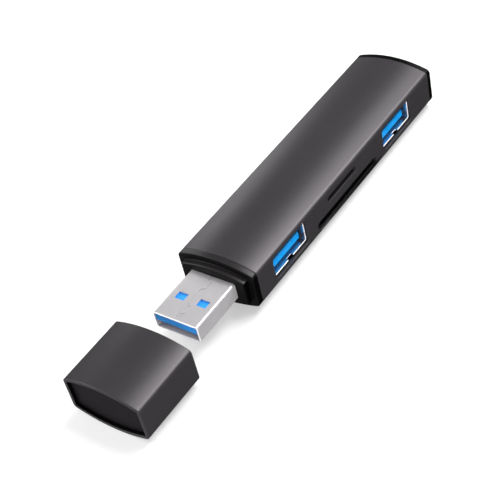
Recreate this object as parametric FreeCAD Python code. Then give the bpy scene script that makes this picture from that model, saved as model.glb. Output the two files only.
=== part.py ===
"""A USB hub and card reader built as a stick, with its cap pulled off and lying in front of the plug.

x runs across the stick, with the ports and the card slots on the +x side. y runs along it, from the cap
(negative) to the closed end (positive), and z is up. While the pieces are built, y = 0 is the front edge of
the sleeve and z = 0 is the middle of the cross-section. At the end all pieces move together, so that the
origin lies under the middle of the whole set, on the surface that carries it. Lengths are in millimetres.
"""

import FreeCAD, Part
import math
import os

# Cross-section shared by the sleeve, the collar, the end cap and the cap: flat sides, bulging top and bottom
body_width = 20.6
body_height = 12.4
crown_rise = 1.84
corner_radius = 1.2
least_corner = 0.4
sleeve_wall = 0.85
sleeve_edge = 0.12
press_gap = 0.05

# Layout along the sleeve: each length starts where the one before ends
front_port_margin = 6.13
front_slot_gap = 4.22
rear_slot_gap = 4.07
rear_port_margin = 9.63
small_slot_shift = -1.75

# Front collar: a flange against the sleeve, a spigot that the cap slides over, lips inside the sleeve
flange_length = 1.55
flange_edge = 0.15
spigot_length = 1.5
spigot_edge = 0.25
collar_wall = 0.5
lip_wall = 1.2
lip_port_gap = 0.9

# Rear end cap: a plate over the end of the sleeve and a skirt inside it
end_plate = 1.3
end_edge = 0.3
skirt_length = 4.0

# Cap, pulled off by cap_gap beyond the tip of the plug
cap_gap = 6.93
cap_recess = 0.8
liner_end = 1.0
liner_wall = 0.6
liner_edge = 0.2
liner_setback = 0.3
tip_room = 0.25
spigot_gap = 0.2

# Plug: folded steel shell with latch windows and an interlocking seam
usb_sheet = 0.3
plug_width = 12.0
plug_height = 4.5
plug_corner = 0.6
plug_edge = 0.1
plug_reach = 14.2
plug_tail = 5.05
plug_fit = 0.04
plug_leg_length = 1.0
latch_width = 2.6
latch_length = 2.05
latch_spacing = 5.9
latch_from_tip = 5.55
latch_pocket = 0.2
seam_width = 0.08
seam_offset = -0.25
seam_shift = 1.05
seam_flank = 0.5
seam_tab = 3.1
seam_tab_starts = (2.0, 10.0)

# Plug insulator: a thick upper half beside the open cavity that takes a port's tongue
insulator_play = 0.03
insulator_recess = 0.1
insulator_drop = 0.15
insulator_edge = 0.15
plug_cavity = 12.0

# Ports: folded steel shell round a tongue in its lower half
port_level = 0.42
port_recess = 0.65
port_opening_width = 12.5
port_opening_height = 5.12
port_corner = 0.6
port_depth = 13.8
port_window_gap = 0.25
port_window_drop = 0.15
port_window_corner = 0.8
port_leg_width = 1.2
port_leg_inset = 3.4
lip_notch_width = 1.9
lip_notch_depth = 0.6
tongue_width = 11.1
tongue_thickness = 1.84
tongue_recess = 1.0
tongue_edge = 0.3
port_block = 3.0

# Spring fingers pressed out of the top and the bottom of a port shell
finger_width = 1.8
finger_length = 5.0
finger_spacing = 6.2
finger_from_mouth = 2.6
finger_bend = 0.4
finger_hook = 0.9
finger_slit = 0.3

# Contacts of the plug and the ports: four slow ones and a row of fast ones
contact_sheet = 0.15
slow_inner_spacing = 2.0
slow_outer_spacing = 7.0
slow_width = 1.0
slow_foot = 0.9
fast_count = 5
fast_pitch = 2.0
fast_width = 0.6
fast_foot = 0.9
foot_bend = 0.4
foot_row_gap = 0.3
pad_setback = 1.1
pad_length = 7.4
pad_dive = 0.5
pad_depth = 0.6
bump_from_tip = 9.0
bump_height = 0.5
bump_slope = 1.0
bump_root = 2.0
port_pad_setback = 0.35
port_pad_length = 2.6
port_bump_setback = 3.9
port_spring_lift = 0.05
port_spring_root = 0.45

# Circuit board
board_level = -0.42
board_thickness = 0.6
board_side_gap = 0.3
board_end_gap = 0.2
board_cut_gap = 0.15
board_slot_gap = 0.05
leg_reach = 1.1

# Card sockets: a plastic base, a folded steel cover and a row of spring contacts
card_play = 0.3
card_lift = 0.1
socket_wall = 0.8
socket_clearance = 0.15
cover_sheet = 0.15
cover_window_length = 3.0
cover_window_margin = 2.2
large_card_width = 24.0
large_card_thickness = 2.1
large_slot_margin = 1.0
large_slot_rise = 0.02
large_slot_corner = 0.9
large_socket_floor = 0.53
large_socket_depth = 15.0
large_contact_count = 9
large_contact_pitch = 2.5
large_contact_width = 1.1
small_card_width = 11.0
small_card_thickness = 0.95
small_slot_margin = 0.45
small_slot_rise = 0.2
small_slot_corner = 0.5
small_socket_floor = 1.34
small_socket_depth = 14.0
small_contact_count = 8
small_contact_pitch = 1.1
small_contact_width = 0.6
socket_tail = 0.6
socket_foot_rise = 0.25
socket_root = 1.0
socket_rise_length = 2.6
socket_nose_length = 1.0
socket_bump_share = 0.55

# Parts on the board
hub_chip_size = 7.0
reader_chip_size = 5.0
chip_gap = 0.5
chip_height = 0.85
chip_edge = 0.08
chip_mark_radius = 0.35
chip_mark_inset = 0.9
chip_mark_depth = 0.05
crystal_length = 3.2
crystal_width = 2.5
crystal_height = 0.8
crystal_corner = 0.4
crystal_edge_gap = 0.5
regulator_length = 2.9
regulator_width = 1.6
regulator_height = 1.1
regulator_edge_gap = 0.8
regulator_leg_width = 0.4
regulator_leg_reach = 0.6
regulator_leg_pitch = 0.95
capacitor_length = 2.0
capacitor_width = 1.25
capacitor_height = 1.0
capacitor_count = 6
capacitor_pitch = 2.3
resistor_length = 1.0
resistor_width = 0.5
resistor_height = 0.35
resistor_count = 5
resistor_pitch = 1.2
resistor_edge_gap = 2.0

# Cutting tools start and end this far outside what they cut
overcut = 1.0
# The port windows are cut this far past the inside of the wall, the card slots as far
window_relief = 3.0
same_place = 1e-6

# Shape of the cross-section
half_width = body_width / 2
crown_radius = (half_width**2 + crown_rise**2) / (2 * crown_rise)
crown_centre = body_height / 2 - crown_radius
inner_half_width = half_width - sleeve_wall
press_inset = sleeve_wall + press_gap
spigot_inset = press_inset + liner_wall + spigot_gap

# Places along y
port_shell_width = port_opening_width + 2 * usb_sheet
port_shell_height = port_opening_height + 2 * usb_sheet
large_cavity_width = large_card_width + card_play
large_slot_width = large_cavity_width + 2 * large_slot_margin
front_port_middle = front_port_margin + port_shell_width / 2
large_card_middle = front_port_middle + port_shell_width / 2 + front_slot_gap + large_slot_width / 2
small_card_middle = large_card_middle + small_slot_shift
rear_port_middle = large_card_middle + large_slot_width / 2 + rear_slot_gap + port_shell_width / 2
sleeve_length = rear_port_middle + port_shell_width / 2 + rear_port_margin
flange_front = -flange_length
spigot_front = flange_front - spigot_length
plug_tip = spigot_front - plug_reach
plug_back = spigot_front + plug_tail
cap_mouth = plug_tip - cap_gap
cap_length = spigot_length + plug_reach + tip_room + liner_end + cap_recess
cap_front = cap_mouth - cap_length
end_back = sleeve_length + end_plate
lip_end = front_port_margin - lip_port_gap

# Places across and up
board_top = board_level + board_thickness / 2
board_bottom = board_level - board_thickness / 2
board_half_width = inner_half_width - board_side_gap
board_front = collar_wall + board_end_gap
board_back = sleeve_length - board_end_gap
cavity_top = -insulator_drop
port_mouth = half_width - port_recess
port_back = port_mouth - port_depth
tongue_tip = port_mouth - tongue_recess
crystal_place = board_half_width - crystal_edge_gap - crystal_length / 2
hub_chip_place = crystal_place - crystal_length / 2 - chip_gap - hub_chip_size / 2
regulator_place = regulator_edge_gap + regulator_leg_reach + regulator_width / 2 - board_half_width
resistor_place = board_half_width - resistor_edge_gap - resistor_length / 2
reader_chip_place = resistor_place - resistor_length / 2 - chip_gap - reader_chip_size / 2

X = FreeCAD.Vector(1, 0, 0)
Y = FreeCAD.Vector(0, 1, 0)
Z = FreeCAD.Vector(0, 0, 1)


def block(x0, x1, y0, y1, z0, z1):
    """A box between two corners, given in either order."""
    low = FreeCAD.Vector(min(x0, x1), min(y0, y1), min(z0, z1))
    return Part.makeBox(abs(x1 - x0), abs(y1 - y0), abs(z1 - z0), low)


def section_outline(inset, y):
    """The outline of the cross-section at y, moved inward by inset: flat sides, crowns, corner arcs.

    Where the inset leaves less than least_corner of the corner's radius, the crowns meet the sides sharply.
    """
    side = half_width - inset
    crown = crown_radius - inset
    corner = corner_radius - inset
    if corner < least_corner:
        corner = 0
    corner_x = side - corner
    corner_z = crown_centre + math.sqrt((crown - corner) ** 2 - corner_x**2)
    lean = math.atan2(corner_z - crown_centre, corner_x)
    side_end = (side, corner_z)
    corner_middle = (corner_x + corner * math.cos(lean / 2), corner_z + corner * math.sin(lean / 2))
    crown_end = (crown * math.cos(lean), crown_centre + crown * math.sin(lean))
    crown_top = (0, crown_centre + crown)

    def at(place, left, down):
        """A place of the right upper quarter, mirrored to the left or downward."""
        return FreeCAD.Vector(-place[0] if left else place[0], y, -place[1] if down else place[1])

    edges = []
    for left in (False, True):
        edges.append(Part.LineSegment(at(side_end, left, True), at(side_end, left, False)))
        for down in (False, True):
            bend = [at(place, left, down) for place in (side_end, corner_middle, crown_end)]
            if corner:
                edges.append(Part.Arc(*bend))
    for down in (False, True):
        right = at(crown_end, False, down)
        edges.append(Part.Arc(right, at(crown_top, False, down), at(crown_end, True, down)))
    return Part.Wire(Part.__sortEdges__([edge.toShape() for edge in edges]))


def section_bar(inset, y0, y1):
    """A solid bar of the cross-section between two places along the stick."""
    return Part.Face(section_outline(inset, y0)).extrude(Y * (y1 - y0))


def edges_at(solid, y):
    """The edges of a solid that lie in the plane across the stick at y."""
    return [e for e in solid.Edges if all(abs(v.Y - y) < same_place for v in e.Vertexes)]


def crown_reach(inset, height):
    """How far out from the middle the crown, moved inward by inset, still reaches the given height."""
    return math.sqrt((crown_radius - inset) ** 2 - (height - crown_centre) ** 2)


def rounded_bar(middle, across, up, along, width, height, corner, straight=False):
    """A bar with a rounded rectangle as its section, from middle along a vector.

    With straight set, each corner is cut off along the chord of its arc.
    """
    flat = width / 2 - corner
    tall = height / 2 - corner
    edges = []
    spots = []
    for turn, (side, rise) in enumerate(((flat, tall), (-flat, tall), (-flat, -tall), (flat, -tall))):
        centre = middle + across * side + up * rise
        angles = [math.radians(45 * (2 * turn + step)) for step in range(3)]
        spots.append([centre + across * (corner * math.cos(a)) + up * (corner * math.sin(a)) for a in angles])
    for arc, following in zip(spots, spots[1:] + spots[:1]):
        bend = Part.LineSegment(arc[0], arc[-1]) if straight else Part.Arc(*arc)
        edges.append(bend.toShape())
        edges.append(Part.LineSegment(arc[-1], following[0]).toShape())
    return Part.Face(Part.Wire(edges)).extrude(along)


def ribbon(points, thickness, across):
    """A bent strip of sheet: a line of points, thickened by one vector and drawn out along another."""
    outline = points + [point + thickness for point in reversed(points)]
    return Part.Face(Part.makePolygon(outline + outline[:1])).extrude(across)


def group(solids):
    """Several separate solids as one node."""
    return Part.makeCompound(solids)


def row(count, pitch):
    """Evenly spaced places about zero."""
    return [(i - (count - 1) / 2) * pitch for i in range(count)]


def slow_places():
    """The four places of the slow contacts across a plug or a port."""
    outer = slow_outer_spacing / 2
    inner = slow_inner_spacing / 2
    return [-outer, -inner, inner, outer]


def fast_places():
    """The places of the fast contacts across a plug or a port."""
    return row(fast_count, fast_pitch)


def board_slot(y0, y1):
    """The space that the board's edges take out of the plastic ends."""
    low = board_bottom - board_slot_gap
    high = board_top + board_slot_gap
    return block(-half_width, half_width, y0, y1, low, high)


def body_sleeve():
    """The extruded tube with its two port windows and two card slots."""
    tube = section_bar(0, 0, sleeve_length)
    tube = tube.makeChamfer(sleeve_edge, edges_at(tube, 0) + edges_at(tube, sleeve_length))
    tube = tube.cut(section_bar(sleeve_wall, -overcut, sleeve_length + overcut))
    start = inner_half_width - window_relief
    along = X * (half_width + overcut - start)
    window_width = port_shell_width + 2 * port_window_gap
    window_height = port_shell_height + 2 * port_window_gap
    for y in (front_port_middle, rear_port_middle):
        middle = FreeCAD.Vector(start, y, port_level - port_window_drop)
        tube = tube.cut(rounded_bar(middle, Y, Z, along, window_width, window_height, port_window_corner))
    for socket in (large_socket, small_socket):
        middle = FreeCAD.Vector(start, socket.middle, socket.cavity_level)
        slot = rounded_bar(middle, Y, Z, along, socket.slot_width, socket.slot_height, socket.slot_corner)
        tube = tube.cut(slot)
    return tube


def front_collar():
    """The flange, the spigot with the plug's passage, and two lips that grip the board inside the sleeve."""
    flange = section_bar(0, flange_front, 0)
    flange = flange.makeChamfer(flange_edge, edges_at(flange, flange_front))
    spigot = section_bar(spigot_inset, spigot_front, 0)
    spigot = spigot.makeChamfer(spigot_edge, edges_at(spigot, spigot_front))
    neck = section_bar(press_inset, flange_front / 2, lip_end)
    collar = flange.fuse(spigot).fuse(neck)
    collar = collar.cut(section_bar(press_inset + lip_wall, collar_wall, lip_end + overcut))
    collar = collar.cut(board_slot(collar_wall, lip_end + overcut))
    collar = collar.cut(plug_bar(plug_fit, spigot_front - overcut, lip_end))
    return collar.removeSplitter()


def rear_end_cap():
    """The plate over the end of the sleeve and the skirt that holds the board's tail."""
    plate = section_bar(0, sleeve_length, end_back)
    plate = plate.makeChamfer(end_edge, edges_at(plate, end_back))
    skirt_front = sleeve_length - skirt_length
    skirt = section_bar(press_inset, skirt_front, sleeve_length + end_plate / 2)
    skirt = skirt.cut(section_bar(press_inset + lip_wall, skirt_front - overcut, sleeve_length))
    skirt = skirt.cut(board_slot(skirt_front - overcut, sleeve_length))
    return plate.fuse(skirt).removeSplitter()


def cap_sleeve():
    """The tube of the cap, cut from the same extrusion as the sleeve."""
    tube = section_bar(0, cap_front, cap_mouth)
    tube = tube.makeChamfer(sleeve_edge, edges_at(tube, cap_front) + edges_at(tube, cap_mouth))
    return tube.cut(section_bar(sleeve_wall, cap_front - overcut, cap_mouth + overcut))


def cap_liner():
    """The pot inside the cap, its closed end set back from the rim."""
    front = cap_front + cap_recess
    pot = section_bar(press_inset, front, cap_mouth - liner_setback)
    pot = pot.makeChamfer(liner_edge, edges_at(pot, front))
    return pot.cut(section_bar(press_inset + liner_wall, front + liner_end, cap_mouth + overcut))


def plug_bar(growth, y0, y1, straight=False):
    """A bar of the plug's outer section, grown by a clearance all round or shrunk by a negative one."""
    middle = FreeCAD.Vector(0, y0, 0)
    width = plug_width + 2 * growth
    height = plug_height + 2 * growth
    corner = max(plug_corner + growth, least_corner)
    return rounded_bar(middle, X, Z, Y * (y1 - y0), width, height, corner, straight)


def seam_path():
    """The line of the plug's seam along its top, from the tip to the back, with its two interlocking tabs."""
    path = [FreeCAD.Vector(seam_offset, plug_tip - overcut, 0)]
    for start in seam_tab_starts:
        near = plug_tip + start
        far = near + seam_tab
        stepped = seam_offset + seam_shift
        path.append(FreeCAD.Vector(seam_offset, near, 0))
        path.append(FreeCAD.Vector(stepped, near + seam_flank, 0))
        path.append(FreeCAD.Vector(stepped, far - seam_flank, 0))
        path.append(FreeCAD.Vector(seam_offset, far, 0))
    path.append(FreeCAD.Vector(seam_offset, plug_back + overcut, 0))
    return path


def seam_slit(start, end):
    """One straight stretch of the seam, cut through the top of the plug's shell."""
    along = (end - start).normalize() * (seam_width / 2)
    side = along.cross(Z)
    base = Z * (plug_height / 2 - usb_sheet - overcut)
    corners = [start - along + side, end + along + side, end + along - side, start - along - side]
    outline = [corner + base for corner in corners]
    return Part.Face(Part.makePolygon(outline + outline[:1])).extrude(Z * (usb_sheet + 2 * overcut))


def latch_openings(z0, z1):
    """The two openings that a port's spring fingers snap into, between two heights."""
    front = plug_tip + latch_from_tip
    openings = []
    for x in (-latch_spacing / 2, latch_spacing / 2):
        openings.append(block(x - latch_width / 2, x + latch_width / 2, front, front + latch_length, z0, z1))
    return openings


def plug_shell():
    """The folded shell: a thin tube with four latch openings, an interlocking seam and two solder legs."""
    shell = plug_bar(0, plug_tip, plug_back)
    shell = shell.makeChamfer(plug_edge, edges_at(shell, plug_tip))
    shell = shell.cut(plug_bar(-usb_sheet, plug_tip - overcut, plug_back + overcut))
    half = plug_height / 2
    for opening in latch_openings(-half - overcut, -half + 2 * usb_sheet):
        shell = shell.cut(opening)
    for opening in latch_openings(half - 2 * usb_sheet, half + overcut):
        shell = shell.cut(opening)
    path = seam_path()
    for start, end in zip(path, path[1:]):
        shell = shell.cut(seam_slit(start, end))
    for side in (-1, 1):
        inside = side * (plug_width / 2 - usb_sheet / 2)
        outside = side * (plug_width / 2 + leg_reach)
        leg = block(inside, outside, plug_back - plug_leg_length, plug_back, board_top, board_top + usb_sheet)
        shell = shell.fuse(leg)
    return shell.removeSplitter()


def plug_insulator():
    """The moulded block inside the plug: solid at the back, with its upper half running on to the tip."""
    front = plug_tip + insulator_recess
    moulding = plug_bar(-usb_sheet - insulator_play, front, plug_back, straight=True)
    cavity_end = plug_tip + plug_cavity
    moulding = moulding.cut(block(-plug_width, plug_width, plug_tip, cavity_end, -plug_height, cavity_top))
    moulding = moulding.makeChamfer(insulator_edge, edges_at(moulding, front))
    top = plug_height / 2 - usb_sheet
    for pocket in latch_openings(top - latch_pocket, top + overcut):
        moulding = moulding.cut(pocket)
    for contact in plug_pad_list() + plug_spring_list():
        moulding = moulding.cut(contact)
    return moulding


def plug_strips(profile, places, width):
    """Copies of one contact side by side across the plug, from its profile of places along and up."""
    strips = []
    for x in places:
        points = [FreeCAD.Vector(x - width / 2, y, z) for y, z in profile]
        strips.append(ribbon(points, Z * contact_sheet, X * width))
    return strips


def plug_pad_list():
    """The four flat contacts: open near the tip, then up through the moulding and down to the board."""
    front = plug_tip + insulator_recess + pad_setback
    dive = front + pad_length
    fast_end = plug_back + foot_bend + fast_foot
    landing = fast_end + foot_row_gap + foot_bend
    profile = [
        (front, cavity_top),
        (dive, cavity_top),
        (dive + pad_dive, cavity_top + pad_depth),
        (fast_end + foot_row_gap, cavity_top + pad_depth),
        (landing, board_top),
        (landing + slow_foot, board_top),
    ]
    return plug_strips(profile, slow_places(), slow_width)


def plug_spring_list():
    """The five sprung contacts: a bump in the cavity, then straight back and down to the board."""
    bump = plug_tip + bump_from_tip
    profile = [
        (bump - bump_slope, cavity_top - 2 * contact_sheet),
        (bump, cavity_top - bump_height - contact_sheet),
        (bump + bump_root, cavity_top),
        (plug_back - foot_bend, cavity_top),
        (plug_back, board_top),
        (plug_back + foot_bend + fast_foot, board_top),
    ]
    return plug_strips(profile, fast_places(), fast_width)


def finger(middle, level, inward):
    """A spring finger at one place across a port, bent inward from the sheet at a level."""
    root = port_mouth - finger_from_mouth
    bend = root - finger_length + finger_hook
    tip = root - finger_length
    left = middle - finger_width / 2
    profile = [(root + usb_sheet, 0), (root, 0), (bend, finger_bend), (tip, finger_bend / 2)]
    points = [FreeCAD.Vector(x, left, level + inward * sink) for x, sink in profile]
    return ribbon(points, Z * (inward * usb_sheet), Y * finger_width)


def port_bar(middle, growth, x0, x1, straight=False):
    """A bar of a port shell's outer section, shrunk by a negative growth."""
    start = FreeCAD.Vector(x0, middle, port_level)
    width = port_shell_width + 2 * growth
    height = port_shell_height + 2 * growth
    corner = max(port_corner + growth, least_corner)
    return rounded_bar(start, Y, Z, X * (x1 - x0), width, height, corner, straight)


def port_shell(middle):
    """The folded shell of a port: a thin tube with a split lower lip, spring fingers and solder legs."""
    shell = port_bar(middle, 0, port_back, port_mouth)
    shell = shell.cut(port_bar(middle, -usb_sheet, port_back - overcut, port_mouth + overcut))
    half = port_shell_height / 2
    notch = lip_notch_width / 2
    low = port_level - half
    shell = shell.cut(
        block(
            port_mouth - lip_notch_depth,
            port_mouth + overcut,
            middle - notch,
            middle + notch,
            low - overcut,
            low + 2 * usb_sheet,
        )
    )
    root = port_mouth - finger_from_mouth
    gap_end = root - finger_length - finger_slit
    reach = finger_width / 2 + finger_slit
    for place in (middle - finger_spacing / 2, middle + finger_spacing / 2):
        for inward in (-1, 1):
            level = port_level - inward * half
            sheet = block(root, gap_end, place - reach, place + reach, level, level + inward * usb_sheet)
            shell = shell.cut(sheet).fuse(finger(place, level, inward))
    for x in (port_mouth - port_leg_inset, port_back + port_leg_inset):
        for side in (-1, 1):
            inside = middle + side * (port_shell_width / 2 - usb_sheet / 2)
            outside = middle + side * (port_shell_width / 2 + leg_reach)
            near = x - port_leg_width / 2
            far = x + port_leg_width / 2
            shell = shell.fuse(block(near, far, inside, outside, board_top, board_top + usb_sheet))
    return shell.removeSplitter()


def port_tongue(middle):
    """The moulding of a port: a block that closes the shell's back and a tongue that reaches to its mouth."""
    root = port_back + port_block
    moulding = port_bar(middle, -usb_sheet - insulator_play, port_back, root, straight=True)
    reach = tongue_width / 2
    low = port_level - tongue_thickness
    tongue = block(root, tongue_tip, middle - reach, middle + reach, low, port_level)
    tip_edges = [e for e in tongue.Edges if all(abs(v.X - tongue_tip) < same_place for v in e.Vertexes)]
    tongue = tongue.makeChamfer(tongue_edge, tip_edges)
    moulding = moulding.fuse(tongue).removeSplitter()
    for contact in port_pad_list(middle) + port_spring_list(middle):
        moulding = moulding.cut(contact)
    return moulding


def port_strips(middle, profile, places, width):
    """Copies of one contact side by side across a port, from its profile of places along and up."""
    strips = []
    for place in places:
        left = middle + place - width / 2
        points = [FreeCAD.Vector(x, left, z) for x, z in profile]
        strips.append(ribbon(points, Z * contact_sheet, Y * width))
    return strips


def port_pad_list(middle):
    """The five flat contacts on top of a port's tongue, then back through the block to the board."""
    front = tongue_tip - tongue_edge - port_pad_setback
    level = port_level - contact_sheet
    root = port_back + port_block
    profile = [
        (front, level),
        (front - port_pad_length, level),
        (front - port_pad_length - pad_dive, level - pad_depth),
        (root, level - pad_depth),
        (port_back + foot_bend, board_top),
        (port_back - fast_foot, board_top),
    ]
    return port_strips(middle, profile, fast_places(), fast_width)


def port_spring_list(middle):
    """The four sprung contacts above a port's tongue, then back through the block and down to the board."""
    bump = tongue_tip - port_bump_setback
    fast_end = port_back - fast_foot
    turn = fast_end - foot_row_gap
    profile = [
        (bump + bump_slope, port_level + port_spring_lift),
        (bump, port_level + bump_height),
        (port_back + port_block, port_level + port_spring_root),
        (turn, port_level + port_spring_root),
        (turn - foot_bend, board_top),
        (turn - foot_bend - slow_foot, board_top),
    ]
    return port_strips(middle, profile, slow_places(), slow_width)


class CardSocket:
    """A card socket on one face of the board, open towards the ports' side of the stick."""

    def __init__(self, side, middle, card, slot, contacts, floor, depth):
        """Works out the socket's places.

        side is 1 on top of the board and -1 under it, and middle its place along the stick. card has the
        card's width and thickness, and slot the margin beside it, the rise above and below it and the corner
        of the slot in the sleeve. contacts has the count, the pitch and the width of the contacts, and floor
        is the base's thickness under the card.
        """
        card_width, card_thickness = card
        slot_margin, slot_rise, self.slot_corner = slot
        self.count, self.pitch, self.contact_width = contacts
        self.side = side
        self.middle = middle
        self.floor_rise = floor
        self.cavity_half = (card_width + card_play) / 2
        self.outer_half = self.cavity_half + socket_wall
        self.face = board_top if side > 0 else board_bottom
        self.floor = self.face + side * floor
        self.roof = self.floor + side * (card_thickness + card_lift)
        self.cover = self.roof + side * cover_sheet
        self.cavity_level = (self.floor + self.roof) / 2
        self.slot_width = 2 * (self.cavity_half + slot_margin)
        self.slot_height = abs(self.roof - self.floor) + 2 * slot_rise
        reach = crown_reach(sleeve_wall + socket_clearance, abs(self.cover))
        self.mouth = min(board_half_width, reach)
        self.back = max(self.mouth - depth, -reach)

    def base(self):
        """The plastic base: a floor on the board with walls on three sides."""
        y0 = self.middle - self.outer_half
        y1 = self.middle + self.outer_half
        base = block(self.back, self.mouth, y0, y1, self.face, self.roof)
        z1 = self.roof + self.side * overcut
        y0 = self.middle - self.cavity_half
        y1 = self.middle + self.cavity_half
        base = base.cut(block(self.back + socket_wall, self.mouth + overcut, y0, y1, self.floor, z1))
        for contact in self.contact_list():
            base = base.cut(contact)
        return base

    def steel_cover(self):
        """The folded steel cover over the base, with two windows above the contacts."""
        reach = self.outer_half + cover_sheet
        cover = block(self.back, self.mouth, self.middle - reach, self.middle + reach, self.face, self.cover)
        y0 = self.middle - self.outer_half
        y1 = self.middle + self.outer_half
        z0 = self.face - self.side * overcut
        cover = cover.cut(block(self.back - overcut, self.mouth + overcut, y0, y1, z0, self.roof))
        window = self.back + socket_wall + socket_root
        z0 = self.roof - self.side * overcut
        z1 = self.cover + self.side * overcut
        for near, far in (
            (cover_window_margin / 2 - self.cavity_half, -cover_window_margin / 2),
            (cover_window_margin / 2, self.cavity_half - cover_window_margin / 2),
        ):
            y0 = self.middle + near
            y1 = self.middle + far
            cover = cover.cut(block(window, window + cover_window_length, y0, y1, z0, z1))
        return cover

    def contact_list(self):
        """The spring contacts: a foot on the board, a root in the floor and a bump in the card's way."""
        root = self.back + socket_wall + socket_root
        bump = root + socket_rise_length
        lift = socket_bump_share * abs(self.roof - self.floor)
        profile = [
            (self.back - socket_tail, 0),
            (self.back - socket_tail / 2, 0),
            (self.back, socket_foot_rise),
            (root, self.floor_rise - contact_sheet),
            (bump, self.floor_rise + lift),
            (bump + socket_nose_length, self.floor_rise),
        ]
        contacts = []
        for place in row(self.count, self.pitch):
            left = self.middle + place - self.contact_width / 2
            points = [FreeCAD.Vector(x, left, self.face + self.side * z) for x, z in profile]
            contacts.append(ribbon(points, Z * (self.side * contact_sheet), Y * self.contact_width))
        return contacts


def circuit_board():
    """The board, cut out round the plug and the two ports, which sink into it."""
    board = block(-board_half_width, board_half_width, board_front, board_back, board_bottom, board_top)
    low = board_bottom - overcut
    high = board_top + overcut
    reach = plug_width / 2 + board_cut_gap
    board = board.cut(block(-reach, reach, board_front - overcut, plug_back + board_cut_gap, low, high))
    reach = port_shell_width / 2 + board_cut_gap
    for y in (front_port_middle, rear_port_middle):
        board = board.cut(block(port_back - board_cut_gap, half_width, y - reach, y + reach, low, high))
    return board


def chip(x, y, size):
    """A square chip on the board with bevelled upper edges and a round mark at its first pin."""
    half = size / 2
    top = board_top + chip_height
    body = block(x - half, x + half, y - half, y + half, board_top, top)
    upper = [e for e in body.Edges if all(abs(v.Z - top) < same_place for v in e.Vertexes)]
    body = body.makeChamfer(chip_edge, upper)
    corner = FreeCAD.Vector(x - half + chip_mark_inset, y - half + chip_mark_inset, top - chip_mark_depth)
    return body.cut(Part.makeCylinder(chip_mark_radius, chip_mark_depth + overcut, corner))


def crystal(y):
    """The lidded crystal beside the hub chip."""
    middle = FreeCAD.Vector(crystal_place, y, board_top)
    height = Z * crystal_height
    return rounded_bar(middle, X, Y, height, crystal_length, crystal_width, crystal_corner, straight=True)


def regulator(y):
    """The voltage regulator: a small moulded body on three bent legs."""
    x = regulator_place
    half = regulator_width / 2
    long_half = regulator_length / 2
    low = board_top + contact_sheet
    body = block(x - half, x + half, y - long_half, y + long_half, low, board_top + regulator_height)
    height = regulator_height / 2
    for side, place in ((-1, -regulator_leg_pitch), (-1, regulator_leg_pitch), (1, 0)):
        edge = x + side * half
        profile = [
            (edge - side * contact_sheet, height),
            (edge + side * contact_sheet, height),
            (edge + side * regulator_leg_reach / 2, 0),
            (edge + side * regulator_leg_reach, 0),
        ]
        left = y + place - regulator_leg_width / 2
        points = [FreeCAD.Vector(px, left, board_top + pz) for px, pz in profile]
        body = body.fuse(ribbon(points, Z * contact_sheet, Y * regulator_leg_width))
    return body.removeSplitter()


def capacitors(y):
    """A row of capacitors across the board behind the rear port."""
    half = capacitor_length / 2
    side = capacitor_width / 2
    top = board_top + capacitor_height
    places = row(capacitor_count, capacitor_pitch)
    return group([block(x - side, x + side, y - half, y + half, board_top, top) for x in places])


def resistors(y):
    """A column of resistors beside the reader chip."""
    half = resistor_length / 2
    side = resistor_width / 2
    top = board_top + resistor_height
    places = row(resistor_count, resistor_pitch)
    x = resistor_place
    return group([block(x - half, x + half, y + p - side, y + p + side, board_top, top) for p in places])


large_socket = CardSocket(
    -1,
    large_card_middle,
    (large_card_width, large_card_thickness),
    (large_slot_margin, large_slot_rise, large_slot_corner),
    (large_contact_count, large_contact_pitch, large_contact_width),
    large_socket_floor,
    large_socket_depth,
)
small_socket = CardSocket(
    1,
    small_card_middle,
    (small_card_width, small_card_thickness),
    (small_slot_margin, small_slot_rise, small_slot_corner),
    (small_contact_count, small_contact_pitch, small_contact_width),
    small_socket_floor,
    small_socket_depth,
)


def all_pieces():
    """Every piece by its node's name."""
    small_reach = small_socket.outer_half + cover_sheet
    port_reach = port_shell_width / 2 + leg_reach
    front_bay = (front_port_middle + port_reach + small_card_middle - small_reach) / 2
    rear_bay = (small_card_middle + small_reach + rear_port_middle - port_reach) / 2
    tail_bay = (rear_port_middle + port_reach + sleeve_length - skirt_length) / 2
    pieces = {
        "body_sleeve": body_sleeve(),
        "front_collar": front_collar(),
        "rear_end_cap": rear_end_cap(),
        "cap_sleeve": cap_sleeve(),
        "cap_liner": cap_liner(),
        "plug_shell": plug_shell(),
        "plug_insulator": plug_insulator(),
        "plug_pads": group(plug_pad_list()),
        "plug_springs": group(plug_spring_list()),
        "circuit_board": circuit_board(),
        "hub_chip": chip(hub_chip_place, rear_bay, hub_chip_size),
        "reader_chip": chip(reader_chip_place, front_bay, reader_chip_size),
        "crystal": crystal(rear_bay),
        "regulator": regulator(rear_bay),
        "capacitors": capacitors(tail_bay),
        "resistors": resistors(front_bay),
    }
    for name, middle in (("front_port", front_port_middle), ("rear_port", rear_port_middle)):
        pieces[name + "_shell"] = port_shell(middle)
        pieces[name + "_tongue"] = port_tongue(middle)
        pieces[name + "_pads"] = group(port_pad_list(middle))
        pieces[name + "_springs"] = group(port_spring_list(middle))
    for name, socket in (("large_card_socket", large_socket), ("small_card_socket", small_socket)):
        pieces[name + "_base"] = socket.base()
        pieces[name + "_cover"] = socket.steel_cover()
        pieces[name + "_contacts"] = group(socket.contact_list())
    return pieces


def main():
    """Moves every piece into the final frame and writes it to a file of its own."""
    os.makedirs("parts", exist_ok=True)
    middle_y = (cap_front + end_back) / 2
    shift = FreeCAD.Vector(0, -middle_y, body_height / 2)
    for name, shape in all_pieces().items():
        shape.translate(shift)
        shape.exportStep("parts/" + name + ".step")
        print(name, "solids", len(shape.Solids), "volume", round(shape.Volume, 3), "valid", shape.isValid())
    print("shift", tuple(round(value, 4) for value in shift))


main()
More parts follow.
